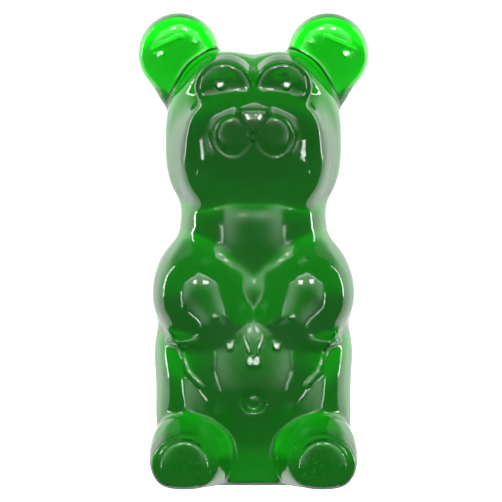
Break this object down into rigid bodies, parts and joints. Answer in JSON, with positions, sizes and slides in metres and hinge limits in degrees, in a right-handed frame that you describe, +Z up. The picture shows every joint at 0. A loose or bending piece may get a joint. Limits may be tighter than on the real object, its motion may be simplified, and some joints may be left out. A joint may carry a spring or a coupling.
{
  "type": "giant gummy bear",
  "caption": "Giant green gummy bear, one translucent solid of fruit gum that sits upright with round ears, a raised snout, arms on its belly and feet forward.",
  "frame": {"origin": "middle of the base, on the surface that the bear sits on", "axes": "+Z up, the face and feet look along -Y, +X to the viewer's right"},
  "size_m": [0.1152, 0.0964, 0.2348],
  "materials": {
    "green_gum": "smooth glossy translucent green fruit gum"
  },
  "bodies": {
    "root": {"gummy_bear": "green_gum"}
  },
  "joints": []
}
